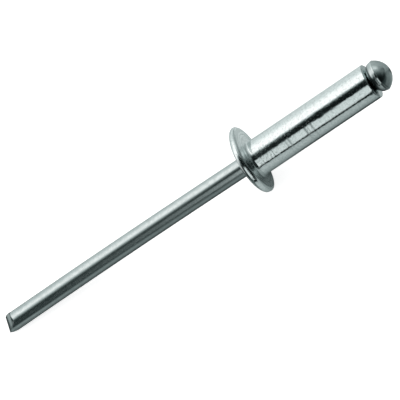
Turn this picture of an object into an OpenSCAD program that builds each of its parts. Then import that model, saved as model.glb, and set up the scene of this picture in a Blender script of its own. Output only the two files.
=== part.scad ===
// Open-end blind rivet, as supplied: a soft tube with a domed flange, and the headed
// steel wire that pulls it up and then breaks off inside it.
// Both pieces are turned along their own axis, with the flange's seat at zero and the
// blind end upward. They are then laid down as the rivet rests on a table: on the
// flange's rim and the tip of the wire, with the blind end off the table. The flange sits
// a little off the axis, so the rivet rolls until the flange's near side is at the bottom.
// The origin is on the table, below the middle of the rivet.

/* [Tube] */
// Outside diameter of the tube
tube_d = 4.8; // [4:0.1:6]
// Length of the tube, from the flange's seat to its blind end
tube_len = 18.25; // [10:0.25:30]
// Radius of the rounded corner at the blind end
end_round = 0.35; // [0.1:0.05:0.6]
// Radius of the fillet where the tube leaves the flange
root_fillet = 0.5; // [0.2:0.05:0.8]
// Clearance between the wire and the bore, all round
bore_gap = 0.05; // [0.02:0.01:0.15]
// Width of the bevel at the flange's end of the bore
bore_bevel = 0.15; // [0.05:0.05:0.3]

/* [Flange] */
// Outside diameter of the flange
flange_d = 9.3; // [8:0.1:12]
// Thickness of the flange's rim
rim_t = 1.02; // [1.02:0.02:1.4]
// Radius rounded onto the corner of the rim beside the seat
seat_round = 0.5; // [0.1:0.02:0.5]
// Radius rounded onto the corner of the rim beside the dome
rim_round = 0.5; // [0.1:0.02:0.5]
// Height of the low dome that the flange's outer face rises above its rim
dome_h = 0.15; // [0.1:0.05:0.6]
// How far the upset flange sits off the tube's axis, towards the side that comes to lie on top
flange_shift = 0.25; // [0.05:0.05:0.4]
// Distance from the rim to the outer of two faint rings that the tool leaves in the seat
ring_inset = 0.75; // [0.65:0.05:0.8]
// Distance between those two rings
ring_pitch = 0.5; // [0.3:0.05:0.7]
// Width of those rings
ring_w = 0.15; // [0.05:0.01:0.2]
// Depth of those rings
ring_depth = 0.03; // [0.01:0.01:0.05]

/* [Wire] */
// Diameter of the wire
wire_d = 2.5; // [2:0.1:3]
// Length of wire that stands out of the flange, from the top of its dome to the tip
wire_out = 38.8; // [20:0.1:50]
// Angle between the two faces of the pinched-off tip
tip_angle = 87; // [60:1:120]
// How far the tip's edge is turned about the wire, from upright
tip_turn = 90; // [0:1:90]
// Diameter left at the notch where the wire breaks
notch_d = 1.8; // [1.4:0.1:2]
// Depth of that notch inside the tube, from the blind end
notch_in = 1.5; // [1:0.1:3]

/* [Wire head] */
// Diameter of the head, over its belt
head_d = 4.26; // [3.6:0.02:4.6]
// Height of the rounded underside, from the blind end to the belt
under_h = 1.06; // [0.9:0.02:1.6]
// Width of the belt that the two halves of the heading tool leave
belt_w = 0.32; // [0.1:0.02:0.5]
// How far the belt stands proud of the surfaces beside it
belt_proud = 0.04; // [0.01:0.01:0.08]
// Height of the sloping shoulder, from the belt to the crown
shoulder_h = 1.17; // [0.8:0.01:1.4]
// Radius of the shoulder's curve
shoulder_r = 2.4; // [1.6:0.1:4]
// Diameter of the crown, the flatter end of the head
crown_d = 1.8; // [1.4:0.1:2.6]
// Height of the crown
crown_h = 0.19; // [0.05:0.01:0.25]

/* [Hidden] */
$fn = 96;
// Overshoot of a cutting shape past the surface that it cuts
over = 0.5;

tube_r = tube_d / 2;
wire_r = wire_d / 2;
bore_r = wire_r + bore_gap;

flange_r = flange_d / 2;
flange_h = rim_t + dome_h;
// Centre of the rim's outer corner, as radius and height, and the dome that is tangent to it
rim_c = [flange_r - rim_round, rim_round - rim_t];
dome_r = (pow(rim_c[0], 2) + pow(dome_h + rim_round, 2) - pow(rim_round, 2)) / (2 * dome_h);
dome_z = dome_r - flange_h;
dome_edge = rim_c[0] * dome_r / (dome_r - rim_round);
seat_rings = [flange_r - ring_inset, flange_r - ring_inset - ring_pitch];
// Turn of the flange about its own axis, which keeps its seam away from the tube's
flange_turn = 90;

wire_tip = -flange_h - wire_out;
tip_len = wire_r / tan(tip_angle / 2);
notch_w = wire_d - notch_d;

head_r = head_d / 2;
// The belt stands proud of the underside and the shoulder, which share this radius
side_r = head_r - belt_proud;
// The underside is an arc that is upright at the belt and meets the wire at the blind end
under_reach = side_r - wire_r;
under_r = (pow(under_reach, 2) + pow(under_h, 2)) / (2 * under_reach);
belt_z = tube_len + under_h;
shoulder_z = belt_z + belt_w;
crown_z = shoulder_z + shoulder_h;
crown_r = (pow(crown_d / 2, 2) + pow(crown_h, 2)) / (2 * crown_h);
shoulder_c = arc_centre([side_r, shoulder_z], [crown_d / 2, crown_z], shoulder_r);

// The rivet rests on the corner of the rim beside the dome and on the wire's tip. The tip
// touches where its cut face leaves the wire's lowest line.
rest_c = [rim_c[1], rim_c[0] - flange_shift];
rest_tip = wire_tip + tip_len * abs(sin(tip_turn));
rest_run = rest_c[0] - rest_tip;
rest_rise = rest_c[1] - wire_r;
rest_tilt = atan2(rest_rise, rest_run) + asin(rim_round / norm([rest_run, rest_rise]));
rest_lift = rest_c[1] * cos(rest_tilt) + rim_round - rest_c[0] * sin(rest_tilt);
// Furthest reach of the tip and of the head along the table, measured from the seat. Past
// the crown's own half angle the head reaches furthest at the crown's edge.
tip_reach = wire_tip * cos(rest_tilt) - wire_r * cos(tip_turn) * sin(rest_tilt);
head_reach = rest_tilt < asin(crown_d / 2 / crown_r)
    ? (crown_z + crown_h - crown_r) * cos(rest_tilt) + crown_r
    : crown_z * cos(rest_tilt) + crown_d / 2 * sin(rest_tilt);
rest_mid = (tip_reach + head_reach) / 2;

// Centre of the arc of radius r from p to q that bulges away from the axis
function arc_centre(p, q, r) =
    let (mid = (p + q) / 2, half = (q - p) / 2, side = [-half[1], half[0]] / norm(half))
    mid + side * sqrt(r * r - half * half);

// A turned solid, from a profile drawn as radius and height
module turned() {
    rotate_extrude() children();
}

// Everything is turned standing up, then laid down in the pose in which the rivet rests,
// centred over the origin
module laid() {
    translate([-rest_mid, 0, rest_lift])
        rotate([0, 90 - rest_tilt, 0])
            children();
}

// Tube wall with the rounded corner at its blind end and the fillet at its root
module tube_profile() {
    square([tube_r - end_round, tube_len]);
    square([tube_r, tube_len - end_round]);
    translate([tube_r - end_round, tube_len - end_round]) circle(end_round);
    difference() {
        square([tube_r + root_fillet, root_fillet]);
        translate([tube_r + root_fillet, root_fillet]) circle(root_fillet);
    }
}

// Flange: a flat seat, a rounded rim and a low dome that runs smoothly into the rim
module flange_profile() {
    difference() {
        union() {
            translate([0, rim_c[1]]) square([flange_r, -seat_round - rim_c[1]]);
            translate([0, -seat_round]) square([flange_r - seat_round, seat_round]);
            translate([flange_r - seat_round, -seat_round]) circle(seat_round);
            translate([0, -rim_t]) square([rim_c[0], rim_round]);
            translate(rim_c) circle(rim_round);
            intersection() {
                translate([0, dome_z]) circle(dome_r);
                translate([0, -flange_h]) square([dome_edge, flange_h + rim_c[1]]);
            }
        }
        for (ring = seat_rings)
            translate([ring, 0]) polygon([[-ring_w, ring_depth], [ring_w, ring_depth], [0, -ring_depth]]);
    }
}

// Bore for the wire, bevelled where the wire leaves the flange
module bore_profile() {
    translate([0, -flange_h - over]) square([bore_r, tube_len + flange_h + 2 * over]);
    translate([0, -flange_h]) polygon([
        [0, -over],
        [bore_r + bore_bevel + over, -over],
        [bore_r, bore_bevel],
        [0, bore_bevel]
    ]);
}

module rivet_body() {
    color([0.84, 0.87, 0.87]) laid() difference() {
        union() {
            turned() tube_profile();
            translate([-flange_shift, 0, 0]) rotate([0, 0, flange_turn]) turned() flange_profile();
        }
        turned() bore_profile();
    }
}

// Half section of the head: rounded underside, belt, sloping shoulder and flatter crown
module head_profile() {
    intersection() {
        translate([side_r - under_r, belt_z]) circle(under_r);
        translate([0, tube_len]) square([side_r, under_h]);
    }
    translate([0, belt_z]) square([head_r, belt_w]);
    intersection() {
        translate(shoulder_c) circle(shoulder_r);
        translate([0, crown_z + crown_h - crown_r]) circle(crown_r);
        translate([0, shoulder_z]) square([side_r, shoulder_h + crown_h]);
    }
}

// Notch rolled into the wire, which makes it break at the right pull
module notch_profile() {
    translate([wire_r, tube_len - notch_in]) rotate(45) square(notch_w / sqrt(2), center = true);
}

// The two faces of the tip, left by the jaws that pinched the wire off
module tip_cuts() {
    translate([0, 0, wire_tip]) rotate([0, 0, tip_turn])
        for (side = [0, 180]) rotate([0, 0, side]) rotate([90 - tip_angle / 2, 0, 0])
            translate([-wire_d, -over, -wire_d]) cube([2 * wire_d, tip_len + wire_d, wire_d]);
}

module mandrel() {
    color([0.62, 0.66, 0.67]) laid() difference() {
        union() {
            translate([0, 0, wire_tip]) cylinder(h = belt_z - wire_tip, r = wire_r);
            turned() head_profile();
        }
        turned() notch_profile();
        tip_cuts();
    }
}

rivet_body();
mandrel();
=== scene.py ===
"""Open-end blind rivet, lying as it comes to rest: a bright tube with a domed flange, on a headed wire.

Each of the two pieces is one dense turned mesh over its CAD solid. Its dents are in the mesh, and its
marks and fine grain are in the material. Lengths are in millimetres until a point is placed.
"""
import math

import bpy
from mathutils import Matrix, Vector, noise


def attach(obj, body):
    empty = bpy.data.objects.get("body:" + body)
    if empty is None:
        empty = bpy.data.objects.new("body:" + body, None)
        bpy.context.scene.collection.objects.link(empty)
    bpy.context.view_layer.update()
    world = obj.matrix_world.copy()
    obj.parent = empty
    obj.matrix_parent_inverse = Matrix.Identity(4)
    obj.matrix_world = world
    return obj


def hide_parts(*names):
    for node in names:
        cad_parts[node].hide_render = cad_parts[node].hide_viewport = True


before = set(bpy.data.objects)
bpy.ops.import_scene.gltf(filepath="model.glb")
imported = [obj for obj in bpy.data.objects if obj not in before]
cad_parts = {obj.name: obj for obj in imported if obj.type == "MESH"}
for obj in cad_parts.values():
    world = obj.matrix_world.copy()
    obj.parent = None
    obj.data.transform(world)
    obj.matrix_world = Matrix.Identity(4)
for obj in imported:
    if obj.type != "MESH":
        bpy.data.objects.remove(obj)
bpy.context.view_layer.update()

MM = 0.001

# The tube, as in the CAD
TUBE_R = 2.4
TUBE_LEN = 18.25
ROOT_FILLET = 0.5
BORE_R = 1.3
BORE_BEVEL = 0.15

# The flange, as in the CAD
FLANGE_R = 4.65
RIM_T = 1.02
SEAT_ROUND = 0.5
RIM_ROUND = 0.5
DOME_H = 0.15
FLANGE_H = RIM_T + DOME_H
FLANGE_SHIFT = 0.25
SEAT_RINGS = (3.9, 3.4)
RING_W = 0.15
RING_DEPTH = 0.03

# The wire and its head, as in the CAD
WIRE_R = 1.25
WIRE_OUT = 38.8
WIRE_TIP = -FLANGE_H - WIRE_OUT
TIP_ANGLE = math.radians(87)
TIP_TURN = math.radians(90)
TIP_LEN = WIRE_R / math.tan(TIP_ANGLE / 2)
NOTCH_R = 0.9
NOTCH_IN = 1.5
NOTCH_AT = TUBE_LEN - NOTCH_IN
HEAD_R = 2.13
UNDER_H = 1.06
BELT_AT = TUBE_LEN + UNDER_H
BELT_W = 0.32
BELT_PROUD = 0.04
SIDE_R = HEAD_R - BELT_PROUD
SHOULDER_R = 2.4
SHOULDER_H = 1.17
CROWN_AT = BELT_AT + BELT_W + SHOULDER_H
CROWN_H = 0.19
CROWN_EDGE = 0.9
CROWN_R = (CROWN_EDGE**2 + CROWN_H**2) / (2 * CROWN_H)

# The resting pose, as in the CAD: on the corner of the rim beside the dome, and on the wire's tip, which
# touches where its cut leaves the wire's lowest line
CORNER_U = RIM_ROUND - RIM_T
CORNER_R = FLANGE_R - RIM_ROUND - FLANGE_SHIFT
REST_RUN = CORNER_U - WIRE_TIP - TIP_LEN
REST_RISE = CORNER_R - WIRE_R
TILT = math.atan2(REST_RISE, REST_RUN) + math.asin(RIM_ROUND / math.hypot(REST_RUN, REST_RISE))
TIP_REACH = WIRE_TIP * math.cos(TILT)
HEAD_REACH = (CROWN_AT + CROWN_H - CROWN_R) * math.cos(TILT) + CROWN_R
LIFT = CORNER_R * math.cos(TILT) + RIM_ROUND - CORNER_U * math.sin(TILT)
SEAT = Vector((-(TIP_REACH + HEAD_REACH) / 2, 0.0, LIFT))
AXIS = Vector((math.cos(TILT), 0.0, math.sin(TILT)))
DOWN = Vector((math.sin(TILT), 0.0, -math.cos(TILT)))
SIDE = Vector((0.0, 1.0, 0.0))

# What the photo shows of the flange beyond the CAD: its slopes down and across, the height of its warp
# at two opposite sides, and its bulge at the far upper side
LEAN_DOWN = -0.026
LEAN_ACROSS = 0.031
WARP = 0.08
BULGE = 0.12
BULGE_AT = -48
BULGE_HALF = 20
# The seat swells by this height about this angle. The swell is full at this radius, and it fades out
# down the rim between these two places.
SWELL = 0.10
SWELL_AT = 60
SWELL_HALF = 45
SWELL_R = 4.0
SWELL_FADE = (-0.6, -0.3)
# How far in from the rim its marks reach
RIM_REACH = 0.6
# The corner at the blind end is crisper than the CAD's round: its reach along the tube, and inwards
END_DEPTH = 0.12
END_WIDTH = 0.3
# The stretch of tube over which the burr at the blind end fades
END_REACH = 1.0
# The wire lies against the far side of the bore, and outside the flange it bows further that way
WIRE_SET = 0.05
WIRE_BOW = 0.14
# The bare wire's faint waves end here, just outside the flange
WAVES_END = -1.5
# How much the pinched tip flares along its edge at the far side, and over what length
TIP_FLARE = 0.12
FLARE_LEN = 1.4

# Dents in the tube: distance from the seat, angle, half lengths along and round, and depth. Angles on
# the rivet run from its top towards the near side: in degrees here, and in half turns in a ramp.
DENTS = [
    (10.72, 41, 0.55, 0.40, 0.024),
    (1.15, 60, 0.10, 0.10, 0.006),
    (3.9, 40, 0.35, 0.16, 0.005),
    (5.7, 38, 0.30, 0.14, 0.006),
    (7.0, 78, 0.12, 0.10, 0.008),
    (8.3, 39, 0.40, 0.15, 0.006),
    (12.6, 43, 0.45, 0.20, 0.006),
    (15.8, 41, 0.35, 0.16, 0.005),
    (6.8, 96, 0.10, 0.12, 0.008),
]
# Nicks in the flange's rim: angle, half width and depth
NICKS = [(-28, 0.35, 0.03), (-58, 0.20, 0.02), (96, 0.30, 0.02), (128, 0.45, 0.03)]

# How far each surface lies inside the CAD's on average, since it is slightly wavy
WALL_WEAR = 0.004
RIM_WEAR = 0.014
SEAT_WEAR = 0.004
HEAD_WEAR = 0.006
WIRE_WEAR = 0.002

# Dark rings round the tube: distance from the seat, half width and strength. Their ramp runs from the
# seat over this length.
DARK_RING_SPAN = 18.0
DARK_RINGS = [
    (3.0, 0.08, 0.9),
    (5.15, 0.20, 0.5),
    (5.6, 0.20, 0.8),
    (8.15, 0.25, 1.0),
    (8.55, 0.12, 0.5),
    (9.1, 0.22, 0.9),
]
# Two lines of painted shade at the head's belt, in the same form. They show on its lower side only.
BELT_SHADE_SPAN = 21.0
BELT_SHADE_LINES = [(19.49, 0.07, 0.8), (19.73, 0.07, 0.8)]

TUBE_SEGMENTS = 288
WIRE_SEGMENTS = 192
# Steps of the mesh from the rim of each of the tip's faces to its ridge, and from that rim to the first
# level ring
TIP_ROWS = 14
BLEND_ROWS = 8
# How far that ring stands from the end of those faces
BLEND_LEN = 1.0
# How far in from a ring of the seat its rows of the mesh run
RING_RUN = 0.4


# Places on the rivet
def place(x, y, u):
    """A point of the rivet's own frame (x down, y across, u along the axis from the seat) in metres."""
    return (SEAT + DOWN * x + SIDE * y + AXIS * u) * MM


def from_top(x, y):
    """Angle about the axis in degrees, from the top towards the near side."""
    return math.degrees(math.atan2(-y, -x))


# Camera
# The view is turned about the axis from straight up towards the near side, and leans towards the head.
# The axis runs up to the right in the image.
VIEW_TURN = math.radians(42.0)
VIEW_LEAN = math.radians(16.5)
VIEW_ROLL = math.radians(33.94)
VIEW_DEPTH = 600.0
IMAGE_PX = 400.0
FOCAL_PX = 4740.0
# Where the middle of the seat is in the image
SEAT_PX = (255.7, 158.95)
SENSOR = 36.0


def add_camera():
    """The camera, at the photograph's viewing angle."""
    upward = math.cos(VIEW_TURN) * DOWN + math.sin(VIEW_TURN) * SIDE
    to_camera = math.sin(VIEW_LEAN) * AXIS - math.cos(VIEW_LEAN) * upward
    across = math.sin(VIEW_TURN) * DOWN - math.cos(VIEW_TURN) * SIDE
    along = (AXIS - math.sin(VIEW_LEAN) * to_camera) / math.cos(VIEW_LEAN)
    right = math.cos(VIEW_ROLL) * along + math.sin(VIEW_ROLL) * across
    up = math.sin(VIEW_ROLL) * along - math.cos(VIEW_ROLL) * across

    data = bpy.data.cameras.new("camera")
    data.sensor_width = SENSOR
    data.lens = FOCAL_PX / IMAGE_PX * SENSOR
    data.clip_start = 0.05
    data.clip_end = 5.0
    camera = bpy.data.objects.new("camera", data)
    bpy.context.collection.objects.link(camera)
    seat_right = (SEAT_PX[0] - IMAGE_PX / 2) / FOCAL_PX * VIEW_DEPTH
    seat_up = (IMAGE_PX / 2 - SEAT_PX[1]) / FOCAL_PX * VIEW_DEPTH
    eye = SEAT + to_camera * VIEW_DEPTH - right * seat_right - up * seat_up
    turn = Matrix((right, up, to_camera)).transposed().to_4x4()
    camera.matrix_world = Matrix.Translation(eye * MM) @ turn
    bpy.context.scene.camera = camera


# Node helper
class Nodes:
    """Adds nodes to a tree and links them: a value that is a socket is linked, anything else is set."""

    def __init__(self, tree):
        self.tree = tree
        tree.nodes.clear()

    def put(self, socket, value):
        if isinstance(value, bpy.types.NodeSocket):
            self.tree.links.new(value, socket)
        elif isinstance(value, tuple) and len(value) == 3 and socket.type == "RGBA":
            socket.default_value = (*value, 1.0)
        else:
            socket.default_value = value

    def add(self, kind, inputs=None, **settings):
        node = self.tree.nodes.new("ShaderNode" + kind)
        for name, value in settings.items():
            setattr(node, name, value)
        for name, value in (inputs or {}).items():
            self.put(node.inputs[name], value)
        return node

    def math(self, operation, a, b=0.0, c=0.0):
        return self.add("Math", {0: a, 1: b, 2: c}, operation=operation).outputs[0]

    def product(self, first, *others):
        for other in others:
            first = self.math("MULTIPLY", first, other)
        return first

    def plus(self, total, value, share):
        """The total with that share of the value added."""
        return self.math("MULTIPLY_ADD", value, share, total)

    def ramp(self, factor, *stops):
        node = self.add("ValToRGB", {"Fac": factor})
        points = node.color_ramp.elements
        while len(points) < len(stops):
            points.new(0.5)
        for point, (position, value) in zip(points, stops):
            point.position = position
            point.color = (value, value, value, 1.0)
        return node.outputs[0]

    def mix(self, factor, a, b):
        node = self.add("Mix", data_type="RGBA")
        for socket, value in ((node.inputs[0], factor), (node.inputs[6], a), (node.inputs[7], b)):
            self.put(socket, value)
        return node.outputs[2]

    def noise(self, at, scale, detail=2.0, roughness=0.5):
        inputs = {"Vector": at, "Scale": scale, "Detail": detail, "Roughness": roughness}
        return self.add("TexNoise", inputs).outputs["Fac"]

    def scaled(self, at, scale, turn=0.0):
        inputs = {"Vector": at, "Rotation": (0.0, 0.0, turn), "Scale": scale}
        return self.add("Mapping", inputs).outputs[0]

    def pair(self, x, y):
        return self.add("CombineXYZ", {0: x, 1: y}).outputs[0]

    def emission(self, colour, strength=1.0):
        return self.add("Emission", {"Color": colour, "Strength": strength}).outputs[0]

    def metal(self, tone, rough, height, depth):
        """Finishes the material as bare metal, whose bumps are this many millimetres for a height of 1."""
        bump = self.add("Bump", {"Height": height, "Strength": 1.0, "Distance": depth * MM}).outputs[0]
        inputs = {"Base Color": tone, "Metallic": 1.0, "Roughness": rough, "Normal": bump}
        self.surface(self.add("BsdfPrincipled", inputs).outputs[0])

    def surface(self, shader):
        self.add("OutputMaterial", {"Surface": shader})


def material(name):
    mat = bpy.data.materials.new(name)
    mat.use_nodes = True
    return mat, Nodes(mat.node_tree)


# Mesh helpers
def arc(centre, radius, start, end, steps):
    """Points (r, u) of an arc, at angles in degrees from outwards towards the blind end."""
    turns = [math.radians(start + (end - start) * k / steps) for k in range(steps + 1)]
    return [(centre[0] + radius * math.cos(t), centre[1] + radius * math.sin(t)) for t in turns]


def line(a, b, steps):
    run, rise = b[0] - a[0], b[1] - a[1]
    return [(a[0] + run * k / steps, a[1] + rise * k / steps) for k in range(steps + 1)]


def joined(*runs):
    """One profile from runs of points, without the doubled points where they meet."""
    out = []
    for run in runs:
        for p in run:
            if not out or math.dist(p, out[-1]) > 1e-4:
                out.append(p)
    return out


def wave(x, y, u, size, seed):
    """Smooth noise from about -1 to 1 whose bumps are that many millimetres wide."""
    return noise.noise(Vector((x / size + seed, y / size - seed, u / size + 2 * seed)))


def step(low, high, value):
    """Rises smoothly from 0 at low to 1 at high."""
    t = min(1.0, max(0.0, (value - low) / (high - low)))
    return t * t * (3 - 2 * t)


def hump(value, middle, half):
    """1 at the middle, about a third at that half width from it, and soon 0."""
    return math.exp(-(((value - middle) / half) ** 2))


def lathe(profile, segments, point):
    """Points and faces of a closed profile that is turned about the axis."""
    rows = len(profile)
    points = [point(r, u, 2 * math.pi * k / segments) for r, u in profile for k in range(segments)]
    faces = []
    for i in range(rows):
        j = (i + 1) % rows
        for k in range(segments):
            m = (k + 1) % segments
            faces.append((j * segments + k, j * segments + m, i * segments + m, i * segments + k))
    return points, faces


def add_piece(name, points, faces, mat, node):
    """A piece of the rivet that rides on its one body and stands for a CAD node."""
    mesh = bpy.data.meshes.new(name)
    mesh.from_pydata([place(*p) for p in points], [], faces)
    mesh.validate()
    mesh.shade_smooth()
    mesh.materials.append(mat)
    obj = bpy.data.objects.new(name, mesh)
    bpy.context.collection.objects.link(obj)
    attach(obj, "root")
    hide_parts(node)
    return obj


# Tube and flange
def seat_run():
    """The seat from the rim inwards, with the two faint rings that the tool left in it."""
    run = [(FLANGE_R - SEAT_ROUND, 0.0)]
    for ring in SEAT_RINGS:
        outer = (ring + RING_W / 2, 0.0)
        bottom = (ring, -RING_DEPTH)
        inner = (ring - RING_W / 2, 0.0)
        run += line(outer, bottom, 3) + line(bottom, inner, 3) + line(inner, (ring - RING_RUN, 0.0), 3)
    return run


def end_corner():
    """The crisp corner at the blind end, a quarter of an ellipse from the end face to the wall."""
    turns = [math.radians(90 - 7.5 * k) for k in range(13)]
    return [
        (TUBE_R - END_WIDTH * (1 - math.cos(t)), TUBE_LEN - END_DEPTH * (1 - math.sin(t)))
        for t in turns
    ]


def tube_profile():
    """The tube's section as (r, u): the end face, the wall, the seat, the rim, the dome and the bore."""
    rim_c = (FLANGE_R - RIM_ROUND, RIM_ROUND - RIM_T)
    dome_r = (rim_c[0] ** 2 + (DOME_H + RIM_ROUND) ** 2 - RIM_ROUND**2) / (2 * DOME_H)
    dome_c = (0.0, dome_r - FLANGE_H)
    dome_edge = -90 + math.degrees(math.asin(rim_c[0] / (dome_r - RIM_ROUND)))
    dome_in = -90 + math.degrees(math.asin((BORE_R + BORE_BEVEL) / dome_r))
    mouth = dome_c[1] + dome_r * math.sin(math.radians(dome_in))
    bevel_top = (BORE_R, -FLANGE_H + BORE_BEVEL)
    return joined(
        line((BORE_R, TUBE_LEN), (TUBE_R - END_WIDTH, TUBE_LEN), 8),
        end_corner(),
        line((TUBE_R, TUBE_LEN - END_DEPTH), (TUBE_R, ROOT_FILLET), 190),
        arc((TUBE_R + ROOT_FILLET, ROOT_FILLET), ROOT_FILLET, 180, 270, 12),
        reversed(seat_run()),
        arc((FLANGE_R - SEAT_ROUND, -SEAT_ROUND), SEAT_ROUND, 90, 0, 14),
        arc(rim_c, RIM_ROUND, 0, dome_edge, 14),
        arc(dome_c, dome_r, dome_edge, dome_in, 14),
        line((BORE_R + BORE_BEVEL, mouth), bevel_top, 2),
        line(bevel_top, (BORE_R, TUBE_LEN - END_REACH), 18),
    )


def flange_share(r, u):
    """1 on the flange, 0 on the tube's wall and in the bore, and in between at the root."""
    if u < 0.02:
        return step(BORE_R + 0.1, BORE_R + 0.6, r)
    if u < ROOT_FILLET:
        return min(1.0, max(0.0, (r - TUBE_R) / ROOT_FILLET))
    return 0.0


def rough_end(r, u, x, y, angle):
    """The blind end as it was sheared: uneven, slightly burred, and a little lower on the near side."""
    rough = step(TUBE_LEN - END_REACH, TUBE_LEN - 0.2, u)
    near = max(0.0, math.cos(math.radians(angle - 50)))
    u += rough * (0.03 - 0.05 * near + 0.03 * wave(x * TUBE_R, y * TUBE_R, 0.0, 0.8, 3.1))
    r += rough * 0.015 * wave(x * TUBE_R, y * TUBE_R, u, 0.5, 5.3)
    return r, u


def dented_wall(r, u, x, y, angle):
    """The radius of the tube's wall, slightly wavy and with its dents."""
    coarse = wave(x * r, y * r, u, 1.6, 7.7)
    fine = wave(x * r, y * r, u, 0.45, 2.2)
    r -= WALL_WEAR * (1 - 0.75 * coarse - 0.25 * fine)
    for at, turn, long, wide, deep in DENTS:
        r -= deep * hump(u, at, long) * hump(math.radians(angle - turn) * TUBE_R, 0.0, wide)
    return r


def worn_rim(r, u, x, y, angle):
    """The radius of the flange's rim, slightly wavy, with its bulge and its nicks."""
    r -= RIM_WEAR - 0.004 * wave(x * r, y * r, u, 1.3, 4.4)
    r += BULGE * step(FLANGE_R - RIM_REACH, FLANGE_R, r) * hump(angle, BULGE_AT, BULGE_HALF)
    for turn, wide, deep in NICKS:
        nick = hump(math.radians(angle - turn) * FLANGE_R, 0.0, wide)
        r -= deep * nick * step(FLANGE_R - RIM_REACH, FLANGE_R, r)
    return r


def tube_point(r, u, phi):
    """A point of the tube, with its dents, its rough end, and the flange's shift, lean and swell."""
    x, y = math.cos(phi), math.sin(phi)
    angle = from_top(x, y)
    on_flange = flange_share(r, u)
    if r > BORE_R + 0.02 and u > TUBE_LEN - END_REACH:
        r, u = rough_end(r, u, x, y, angle)
    if r > BORE_R + 0.05:
        if u > ROOT_FILLET:
            r = dented_wall(r, u, x, y, angle)
        elif r > FLANGE_R - RIM_REACH:
            r = worn_rim(r, u, x, y, angle)
        elif u > -0.1:
            u -= SEAT_WEAR * (1 - wave(x * r, y * r, 0.0, 0.9, 6.1))
    warp = WARP * (r / FLANGE_R) ** 2 * math.cos(2 * math.radians(angle - BULGE_AT))
    lean = r * (LEAN_DOWN * x + LEAN_ACROSS * y) + warp
    swell = step(TUBE_R + ROOT_FILLET, SWELL_R, r) * step(*SWELL_FADE, u)
    u += SWELL * swell * hump(angle, SWELL_AT, SWELL_HALF)
    return r * x - FLANGE_SHIFT * on_flange, r * y, u + lean * on_flange


# Pull wire
def wire_line(u):
    """How far the wire's middle lies to the far side of the tube's axis."""
    bare = max(0.0, -FLANGE_H - u) / WIRE_OUT
    return WIRE_SET + WIRE_BOW * math.sin(math.pi * bare)


def tip_back(height):
    """How far back the tip's face is from its edge, at that height off the edge: flat, then curved."""
    share = height / WIRE_R
    return TIP_LEN * (share + 1.3 * share**3 * (1 - share))


def head_profile():
    """The head's section as (r, u): its rounded underside, belt, sloping shoulder and flatter crown."""
    reach = SIDE_R - WIRE_R
    under_r = (reach**2 + UNDER_H**2) / (2 * reach)
    under_start = -math.degrees(math.asin(UNDER_H / under_r))
    low = Vector((SIDE_R, BELT_AT + BELT_W))
    high = Vector((CROWN_EDGE, CROWN_AT))
    half = (high - low) / 2
    side = Vector((-half[1], half[0])).normalized()
    centre = (low + high) / 2 + side * math.sqrt(SHOULDER_R**2 - half.length_squared)
    start, end = [math.degrees(math.atan2(q[1] - centre[1], q[0] - centre[0])) for q in (low, high)]
    crown = math.degrees(math.asin(CROWN_EDGE / CROWN_R))
    edge = 0.03
    return joined(
        arc((SIDE_R - under_r, BELT_AT), under_r, under_start, 0, 24),
        line((SIDE_R, BELT_AT), (HEAD_R, BELT_AT + edge), 2),
        line((HEAD_R, BELT_AT + edge), (HEAD_R, BELT_AT + BELT_W - edge), 4),
        line((HEAD_R, BELT_AT + BELT_W - edge), (SIDE_R, BELT_AT + BELT_W), 2),
        arc((centre[0], centre[1]), SHOULDER_R, start, end, 24),
        arc((0.0, CROWN_AT + CROWN_H - CROWN_R), CROWN_R, 90 - crown, 90 - crown * 0.05, 14),
    )


def wire_profile():
    """The wire's section as (r, u), from the first level ring above the tip to the crown's last ring."""
    depth = WIRE_R - NOTCH_R
    notch = (NOTCH_R, NOTCH_AT)
    bare_end = (WIRE_R, WAVES_END)
    return joined(
        line((WIRE_R, WIRE_TIP + TIP_LEN + BLEND_LEN), bare_end, 150),
        line(bare_end, (WIRE_R, NOTCH_AT - depth), 16),
        line((WIRE_R, NOTCH_AT - depth), notch, 3),
        line(notch, (WIRE_R, NOTCH_AT + depth), 3),
        line((WIRE_R, NOTCH_AT + depth), (WIRE_R, TUBE_LEN), 6),
        head_profile(),
    )


def wire_point(r, u, phi):
    """A point of the wire's surface, slightly wavy on the head and on the bare wire."""
    x, y = math.cos(phi), math.sin(phi)
    if u > TUBE_LEN + 0.1:
        r -= HEAD_WEAR * (1 - wave(x * r, y * r, u, 0.8, 1.9))
    elif r > WIRE_R - 0.01 and u < WAVES_END:
        r -= WIRE_WEAR * (1 - wave(x * r, y * r, u / 6, 0.5, 8.8))
    return r * x, r * y + wire_line(u), u


def tip_point(p, w, u):
    """A point near the tip, from its place along the tip's edge and its distance off that line."""
    if p > 0:
        p *= 1 + TIP_FLARE * (1 - step(0.0, FLARE_LEN, u - WIRE_TIP))
    c, s = math.cos(TIP_TURN), math.sin(TIP_TURN)
    return p * c - w * s, p * s + w * c + wire_line(u), u


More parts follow.
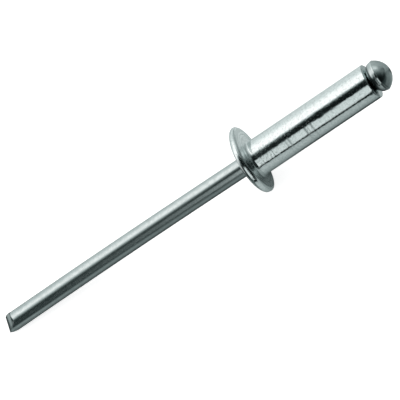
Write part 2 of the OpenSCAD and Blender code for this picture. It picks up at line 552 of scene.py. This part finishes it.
class WireMesh:
    """The whole wire: the tip's two faces, the rows that blend from them to a level ring, and the rest."""

    def __init__(self, segments):
        self.segments = segments
        self.points = []
        self.faces = []
        ring = self.add_tip()
        profile = wire_profile()
        rows = [ring] + self.blend_rows(profile[0][1]) + [self.turned_row(r, u) for r, u in profile]
        for low, high in zip(rows, rows[1:]):
            for k, m in self.neighbours():
                self.faces.append((low[m], high[m], high[k], low[k]))
        apex = self.add((0.0, WIRE_SET, CROWN_AT + CROWN_H - HEAD_WEAR))
        self.faces += [(rows[-1][m], apex, rows[-1][k]) for k, m in self.neighbours()]

    def add(self, point):
        self.points.append(point)
        return len(self.points) - 1

    def neighbours(self):
        return [(k, (k + 1) % self.segments) for k in range(self.segments)]

    def rim(self, k):
        """Place k on the rim of the tip: along the tip's edge, off it, and along the rivet."""
        turn = 2 * math.pi * k / self.segments
        p, w = WIRE_R * math.cos(turn), WIRE_R * math.sin(turn)
        return p, w, WIRE_TIP + tip_back(abs(w))

    def add_tip(self):
        """Adds the tip's two faces, as columns from their rim to the ridge, and gives their rim."""
        half = self.segments // 2
        ring = [self.add(tip_point(*self.rim(k))) for k in range(self.segments)]
        ridge = {k: self.add(tip_point(self.rim(k)[0], 0.0, WIRE_TIP)) for k in range(1, half)}
        shares = [(1 - i / TIP_ROWS) ** 2 for i in range(1, TIP_ROWS)]
        columns = []
        for k in range(self.segments):
            j = min(k, self.segments - k)
            if j in (0, half):
                columns.append([ring[k]] * (TIP_ROWS + 1))
                continue
            p, w, _ = self.rim(k)
            inner = [self.add(tip_point(p, w * t, WIRE_TIP + tip_back(abs(w) * t))) for t in shares]
            columns.append([ring[k]] + inner + [ridge[j]])
        for k, m in self.neighbours():
            a, b = columns[k], columns[m]
            for i in range(TIP_ROWS):
                corners = list(dict.fromkeys((a[i], b[i], b[i + 1], a[i + 1])))
                if len(corners) > 2:
                    self.faces.append(tuple(corners))
        return ring

    def blend_rows(self, top):
        """The rows between the rim of the tip's faces and the first level ring."""
        rows = []
        for i in range(1, BLEND_ROWS):
            row = []
            for k in range(self.segments):
                p, w, start = self.rim(k)
                row.append(self.add(tip_point(p, w, start + (top - start) * i / BLEND_ROWS)))
            rows.append(row)
        return rows

    def turned_row(self, r, u):
        turns = [TIP_TURN + 2 * math.pi * k / self.segments for k in range(self.segments)]
        return [self.add(wire_point(r, u, turn)) for turn in turns]


# Metals
def rivet_frame(n):
    """The rivet's own frame: (along, across, up) in millimetres, its parts, and the angle in radians."""
    seat_x = SEAT.x * math.cos(TILT) + SEAT.z * math.sin(TILT)
    seat_z = SEAT.z * math.cos(TILT) - SEAT.x * math.sin(TILT)
    settings = {
        "Vector": n.add("TexCoord").outputs["Object"],
        "Location": (-seat_x, 0.0, -seat_z),
        "Rotation": (0.0, TILT, 0.0),
        "Scale": (1 / MM, 1 / MM, 1 / MM),
    }
    own = n.add("Mapping", settings).outputs[0]
    parts = n.add("SeparateXYZ", {0: own}).outputs
    angle = n.math("ARCTAN2", n.math("MULTIPLY", parts[1], -1.0), parts[2])
    return own, parts, angle


def marks(n, along, places, span):
    """The strength of each mark (place, half width, strength) at its place, and 0 away from it."""
    stops = [(0.0, 0.0)]
    for at, half, strength in places:
        stops += [((at - half) / span, 0.0), (at / span, strength), ((at + half) / span, 0.0)]
    return n.ramp(n.math("DIVIDE", along, span), *stops)


def low_side(n, turn):
    """1 on the near lower side, where shade is painted at the gap under the head. The angle is in half
    turns.
    """
    return n.ramp(turn, (0.17, 0.0), (0.24, 1.0), (0.60, 1.0), (0.66, 0.0))


def dark_ring_marks(n, along, turn, unrolled):
    """Broken dark rings round the tube, strongest on its near side."""
    rings = marks(n, along, DARK_RINGS, DARK_RING_SPAN)
    near = n.ramp(turn, (0.15, 0.0), (0.20, 0.7), (0.27, 1.0), (0.36, 1.0), (0.42, 0.4), (0.60, 0.2))
    patches = n.noise(n.scaled(unrolled, (7.0, 1.2, 1.0)), 1.0, 3.0, 0.7)
    return n.product(rings, near, n.ramp(patches, (0.35, 0.45), (0.60, 1.0)))


def tube_material():
    """Bright aluminium: rubbed, scratched and blotched, with dark rings on its wall and a spun seat.
    Its end face has painted shade on the near lower side.
    """
    mat, n = material("tube_metal")
    own, parts, angle = rivet_frame(n)
    along = parts[0]
    turn = n.math("DIVIDE", angle, math.pi)
    radius = n.math("SQRT", n.plus(n.product(parts[2], parts[2]), parts[1], parts[1]))
    unrolled = n.pair(along, n.product(angle, TUBE_R))

    on_seat = n.product(n.math("LESS_THAN", along, 0.3), n.math("GREATER_THAN", along, -0.3))
    at_end = n.math("GREATER_THAN", along, TUBE_LEN - 0.15)
    # Painted shade: the near lower side of the tube's end face, beside the gap under the head
    face = n.product(at_end, n.math("LESS_THAN", radius, TUBE_R - 0.07), low_side(n, turn))
    spun = n.noise(n.pair(n.product(radius, 5.0), n.product(angle, 0.7)), 1.0, 3.0, 0.6)
    seat_lines = n.product(on_seat, n.ramp(spun, (0.45, 0.0), (0.58, 1.0)))
    scratches = n.noise(n.scaled(unrolled, (0.5, 6.0, 1.0), math.radians(62)), 1.0, 4.0, 0.7)
    hair = n.ramp(scratches, (0.60, 0.0), (0.68, 1.0))
    rubbing = n.noise(n.scaled(unrolled, (2.2, 0.8, 1.0), math.radians(20)), 1.0, 3.0, 0.6)
    rub = n.ramp(rubbing, (0.42, 0.0), (0.75, 1.0))
    speck = n.ramp(n.noise(own, 3.4, 3.0, 0.7), (0.48, 0.0), (0.66, 1.0))
    dull = n.ramp(n.noise(own, 6.5), (0.56, 0.0), (0.66, 1.0))
    dark_rings = dark_ring_marks(n, along, turn, unrolled)

    tone = n.mix(rub, (0.90, 0.94, 0.94), (0.84, 0.89, 0.89))
    tone = n.mix(n.product(hair, 0.18), tone, (0.55, 0.60, 0.60))
    tone = n.mix(n.product(dark_rings, 0.95), tone, (0.22, 0.26, 0.26))
    # The end face darkened with painted shade
    tone = n.mix(n.product(face, 0.6), tone, (0.10, 0.12, 0.12))
    tone = n.mix(n.product(seat_lines, 0.5), tone, (0.45, 0.50, 0.50))
    tone = n.mix(n.product(speck, 0.45), tone, (0.50, 0.55, 0.55))

    rough = n.plus(0.05, rub, 0.05)
    rough = n.plus(rough, dull, 0.20)
    rough = n.plus(rough, on_seat, 0.10)
    rough = n.plus(rough, dark_rings, 0.25)

    height = n.plus(n.product(n.noise(own, 11.0, 3.0, 0.6), 0.40), n.noise(own, 2.6), 1.0)
    height = n.plus(height, n.noise(own, 4.5), 1.1)
    height = n.plus(height, n.noise(n.scaled(unrolled, (9.0, 0.5, 1.0)), 1.0, 3.0, 0.6), 0.10)
    height = n.plus(height, n.product(spun, on_seat), 0.9)
    height = n.plus(height, hair, -0.10)
    n.metal(tone, rough, height, 0.007)
    return mat


def head_shadow(n, along, turn):
    """Painted shade in the gap between the tube's end and the head, and in two lines at its belt's lower
    side.
    """
    beyond = n.math("SUBTRACT", along, TUBE_LEN)
    ring = n.ramp(beyond, (0.0, 0.0), (0.35, 0.1), (0.45, 0.7), (0.60, 0.7), (0.70, 0.1), (1.0, 0.1))
    fading = n.ramp(beyond, (0.0, 0.7), (0.65, 0.7), (0.95, 0.2), (1.0, 0.0))
    gap = n.math("MAXIMUM", ring, n.product(low_side(n, turn), fading))
    gap = n.product(gap, n.math("GREATER_THAN", beyond, 0.0), n.math("LESS_THAN", beyond, 1.0))
    # The belt's lines of painted shade show on its lower side only
    lower = n.ramp(turn, (0.42, 0.0), (0.50, 1.0), (0.85, 1.0), (0.90, 0.0))
    belt_shade = marks(n, along, BELT_SHADE_LINES, BELT_SHADE_SPAN)
    return n.math("MAXIMUM", gap, n.product(belt_shade, lower))


def wire_material():
    """Drawn steel: fine lines along the wire, and faint ones on its head that run out from the crown."""
    mat, n = material("wire_metal")
    own, parts, angle = rivet_frame(n)
    along = parts[0]
    drawn = n.noise(n.scaled(own, (0.12, 7.0, 7.0)), 1.0, 4.0, 0.6)
    radial = n.noise(n.pair(n.product(along, 0.5), n.product(angle, 9.0)), 1.0, 3.0, 0.6)
    lines = n.mix(n.math("GREATER_THAN", along, TUBE_LEN), drawn, radial)
    stain = n.ramp(n.noise(own, 1.5, 4.0, 0.7), (0.38, 0.0), (0.72, 1.0))
    shadow = head_shadow(n, along, n.math("DIVIDE", angle, math.pi))

    tone = n.mix(stain, (0.70, 0.75, 0.75), (0.58, 0.63, 0.63))
    # Painted shade in the gap under the head and along its belt
    tone = n.mix(shadow, tone, (0.06, 0.07, 0.07))
    rough = n.plus(0.16, stain, 0.08)
    height = n.plus(n.product(n.noise(own, 3.2), 0.25), lines, 0.8)
    n.metal(tone, rough, height, 0.004)
    return mat


def add_rivet():
    """The two pieces, each in the place of its CAD node."""
    points, faces = lathe(tube_profile(), TUBE_SEGMENTS, tube_point)
    tube = add_piece("rivet_tube", points, faces, tube_material(), "rivet_body")
    mesh = WireMesh(WIRE_SEGMENTS)
    wire = add_piece("pull_wire", mesh.points, mesh.faces, wire_material(), "mandrel")


# Floor
FLOOR_HALF = 1500.0
PAPER = 0.8
# With the light that falls on the paper, this glow takes it to plain white
PAPER_GLOW = 0.74


def stage_object(name, corners, faces, mat):
    mesh = bpy.data.meshes.new(name)
    mesh.from_pydata([Vector(c) * MM for c in corners], [], faces)
    mesh.materials.append(mat)
    obj = bpy.data.objects.new(name, mesh)
    bpy.context.collection.objects.link(obj)
    return obj


def floor_material():
    """Pale paper. To the camera, to metal and to glass it also glows, which takes it to plain white."""
    mat, n = material("floor_paper")
    path = n.add("LightPath").outputs
    seen = n.math("MAXIMUM", path["Is Camera Ray"], path["Is Glossy Ray"])
    seen = n.math("MAXIMUM", seen, path["Is Transmission Ray"])
    paper = n.add("BsdfDiffuse", {"Color": (PAPER, PAPER, PAPER)}).outputs[0]
    glow = n.emission((1.0, 1.0, 1.0), n.product(seen, PAPER_GLOW))
    n.surface(n.add("AddShader", {0: paper, 1: glow}).outputs[0])
    return mat


def add_floor():
    corners = [(x * FLOOR_HALF, y * FLOOR_HALF, 0.0) for x, y in ((-1, -1), (1, -1), (1, 1), (-1, 1))]
    stage_object("floor", corners, [(0, 1, 2, 3)], floor_material())


# Studio cards, which only the metal mirrors
# How much red a card keeps, by its strength: the dim ones are greenish blue, the bright ones white
CARD_RED = [(0.0, 0.62), (0.1, 0.82), (0.5, 0.90), (0.85, 0.93), (1.1, 1.0)]
CARD_BLUE = 0.99

# The tent is a half tube over the table, with this radius about a line at this height
TENT_R = 190.0
TENT_H = 4.0
# The ground card is painted shadow: to the metal it is the table, dark beneath and near the rivet.
# The ground card lies just over the table. Its angles are about a line at the first height, and its
# columns lean by this slope as they come nearer.
AXIS_H = 4.6
GROUND_H = 0.02
GROUND_SLOPE = 0.25
# The end card stands beyond the blind end
END_X = 400.0
# No two stops of the tent and of the ground card are further apart than these, in degrees
TENT_STEP = 4.0
GROUND_STEP = 8.0


def column(x, places, strengths):
    """A column of a card: its place, and its stops of (place along the column, strength)."""
    return x, list(zip(places, strengths))


# The tent and the ground card have their stops at angles about the rivet's axis, in degrees from straight
# up towards the near side. A column leans as the mirrored view of one place on the rivet does, so its
# first number is where it stands at the top of the tent, or below the rivet. In order, the columns show
# in the tip and the wire, in the wire beside the flange, in the tube, and in the flange's rim and the head.
TIP_SKY = (
    (-92, -60, -30, -15, -2, 10, 23, 33, 45, 92),
    (.6, .65, 1.0, 1.15, 1.15, .85, .45, .13, .03, .03),
)
TUBE_SKY = (
    (-92, -60, -30, 1, 7, 13, 20, 46, 54, 92),
    (.7, .76, 1.12, 1.15, .6, .15, .01, .005, .66, .76),
)
RIM_SKY_AT = (-92, -60, -30, -10, 0, 14, 30, 46, 60, 92)
HEAD_SKY_AT = (-92, -60, -30, -10, 5, 18, 30, 46, 60, 92)
TENT = [
    column(-400, *TIP_SKY),
    column(-109, *TIP_SKY),
    column(-92, (-92, -60, -30, -15, -4, 8, 19, 30, 45, 92),
           (.65, .8, 1.12, 1.18, 1.08, .65, .2, .04, .02, .06)),
    column(-64, (-92, -60, -30, -3, 8, 19, 30, 48, 68, 92),
           (.6, .8, 1.18, 1.12, .65, .2, .05, .04, .28, .2)),
    column(-60, (-92, -60, -30, 4, 8, 12, 18, 46, 53, 92),
           (.7, .8, 1.12, 1.16, .95, .15, .01, .005, .85, .95)),
    column(-50, *TUBE_SKY),
    column(20, *TUBE_SKY),
    column(34, RIM_SKY_AT, (.5, .6, .9, .6, .3, .03, .01, .005, .005, .005)),
    column(180, RIM_SKY_AT, (.4, .45, .9, .4, .3, .1, .02, .005, .005, .005)),
    column(270, HEAD_SKY_AT, (.35, .35, .35, .3, .18, .1, .04, .01, .01, .01)),
    column(400, HEAD_SKY_AT, (.35, .3, .25, .2, .18, .1, .05, .04, .02, .02)),
]
# The ground card's strengths, which paint the rivet's shadow on the table
TIP_GROUND = (
    (91.3, 95, 104, 112, 119, 128, 138, 150, 160, 172, 186, 222, 236, 268.7),
    (.03, .03, .03, .04, .07, .16, .3, .3, .18, .1, .05, .05, .45, .6),
)
HEAD_GROUND_AT = (91.3, 95, 98, 106, 112, 122, 142, 160, 204, 216, 221, 231, 236, 268.7)
GROUND = [
    column(-400, *TIP_GROUND),
    column(-26, *TIP_GROUND),
    column(-14, (91.3, 95, 104, 112, 119, 126, 137, 148, 158, 170, 186, 222, 236, 268.7),
           (.05, .05, .06, .12, .18, .25, .26, .22, .14, .08, .03, .03, .45, .6)),
    column(7.5, (91.3, 95, 104, 112, 119, 128, 138, 148, 158, 170, 186, 222, 236, 268.7),
           (.2, .1, .1, .13, .2, .23, .22, .17, .1, .05, .03, .03, .45, .6)),
    column(8.3, (91.3, 94.5, 95.5, 101.5, 103, 111, 123, 143, 160, 182, 192, 222, 236, 268.7),
           (.75, .7, .02, .02, .45, .52, .47, .3, .15, .14, .03, .03, .6, .76)),
    column(13, (91.3, 94.8, 95.8, 102, 103.5, 111, 123, 143, 160, 182, 192, 222, 236, 268.7),
           (.65, .65, .01, .01, .4, .48, .45, .3, .15, .12, .03, .03, .6, .76)),
    column(16, (91.3, 95.2, 96.2, 102.5, 104, 111, 123, 143, 160, 182, 192, 222, 236, 268.7),
           (.65, .65, .01, .01, .4, .46, .45, .28, .05, .01, .02, .03, .6, .76)),
    column(27.5, (91.3, 96.3, 97.6, 104.5, 106, 112, 123, 143, 160, 182, 192, 222, 236, 268.7),
           (.76, .74, .01, .01, .38, .46, .4, .26, .05, .02, .02, .03, .3, .7)),
    column(29, HEAD_GROUND_AT, (.3, .1, .02, .03, .03, .08, .12, .2, .45, .45, .03, .03, .35, .5)),
    column(38, HEAD_GROUND_AT, (.03, .03, .03, .04, .08, .16, .2, .22, .25, .25, .15, .15, .3, .4)),
    column(50, HEAD_GROUND_AT, (.02, .02, .03, .04, .06, .16, .2, .2, .2, .2, .2, .2, .25, .4)),
    column(100, HEAD_GROUND_AT, (.01, .01, .03, .08, .1, .12, .12, .12, .12, .12, .12, .14, .2, .4)),
    column(460, HEAD_GROUND_AT, (.02, .03, .08, .08, .1, .12, .12, .12, .12, .12, .12, .14, .2, .4)),
]
# The end card's columns run from the near side to the far side, and its stops are heights
END = [
    column(-200, (0, 60, 110, 200), (.01, .01, .04, .1)),
    column(-90, (0, 60, 110, 200), (.01, .01, .08, .12)),
    column(-40, (0, 40, 70, 200), (.02, .04, .12, .15)),
    column(35, (0, 60, 130, 200), (.1, .2, .2, .2)),
    column(200, (0, 60, 130, 200), (.1, .15, .15, .15)),
]


def tent_point(x, t):
    turn = math.radians(t)
    x += TENT_R * math.sin(TILT) * (1 - math.cos(turn))
    return x, -TENT_R * math.sin(turn), TENT_H + TENT_R * math.cos(turn)


def ground_point(x, t):
    y = AXIS_H * math.tan(math.radians(t))
    return x - GROUND_SLOPE * max(0.0, -y), y, GROUND_H


def end_point(y, z):
    return END_X, y, z


def level(stops, value):
    """The value between stops of (position, value), straight from each stop to the next."""
    for (a, low), (b, high) in zip(stops, stops[1:]):
        if value < b:
            return low + (high - low) * max(0.0, (value - a) / (b - a))
    return stops[-1][1]


def finer(columns, widest):
    """The same columns with stops added, so that no two are further apart than that many degrees."""
    shares = [0]
    for k in range(1, len(columns[0][1])):
        gap = max(stops[k][0] - stops[k - 1][0] for x, stops in columns)
        parts = max(1, math.ceil(gap / widest))
        shares += [k - 1 + (i + 1) / parts for i in range(parts)]
    out = []
    for x, stops in columns:
        angles = [(k, angle) for k, (angle, strength) in enumerate(stops)]
        strengths = [(k, strength) for k, (angle, strength) in enumerate(stops)]
        out.append((x, [(level(angles, share), level(strengths, share)) for share in shares]))
    return out


def card_material():
    mat, n = material("studio_glow")
    n.surface(n.emission(n.add("Attribute", attribute_name="glow").outputs["Color"]))
    return mat


def add_card(name, columns, point, mat):
    """A card whose strength runs smoothly from stop to stop and from column to column."""
    corners = [point(x, t) for x, stops in columns for t, strength in stops]
    strengths = [strength for x, stops in columns for t, strength in stops]
    size = len(columns[0][1])
    faces = []
    for i in range(len(columns) - 1):
        for k in range(size - 1):
            a, b = size * i + k, size * (i + 1) + k
            faces.append((a, a + 1, b + 1, b))
    card = stage_object(name, corners, faces, mat)
    colours = card.data.attributes.new("glow", "FLOAT_COLOR", "POINT").data
    for item, strength in zip(colours, strengths):
        item.color = (strength * level(CARD_RED, strength), strength, strength * CARD_BLUE, 1.0)
    card.visible_camera = False
    card.visible_diffuse = False
    card.visible_transmission = False
    card.visible_volume_scatter = False
    card.visible_shadow = False


def add_cards():
    mat = card_material()
    add_card("card_tent", finer(TENT, TENT_STEP), tent_point, mat)
    add_card("card_end", END, end_point, mat)
    add_card("card_table_shadow", finer(GROUND, GROUND_STEP), ground_point, mat)


# Soft light
SKY = 0.6
# The lamp's place and size, in metres, and its power
LAMP_AT = Vector((-0.05, 0.2, 0.5))
LAMP_SIZE = 0.6
LAMP_POWER = 0.5


def add_world():
    world = bpy.data.worlds.new("world")
    world.use_nodes = True
    n = Nodes(world.node_tree)
    sky = n.add("Background", {"Color": (1.0, 1.0, 1.0), "Strength": SKY}).outputs[0]
    n.add("OutputWorld", {"Surface": sky})
    bpy.context.scene.world = world


def add_key_lamp():
    """A broad lamp above the far side, which the metal doesn't mirror. It gives the soft shadow."""
    data = bpy.data.lights.new("key_lamp", "AREA")
    data.shape = "DISK"
    data.size = LAMP_SIZE
    data.energy = LAMP_POWER
    lamp = bpy.data.objects.new("key_lamp", data)
    bpy.context.collection.objects.link(lamp)
    lamp.location = LAMP_AT
    lamp.rotation_mode = "QUATERNION"
    lamp.rotation_quaternion = (-LAMP_AT).to_track_quat("-Z", "Y")
    lamp.visible_glossy = False


add_camera()
add_rivet()
add_floor()
add_cards()
add_world()
add_key_lamp()
bpy.context.scene.view_settings.view_transform = "Standard"
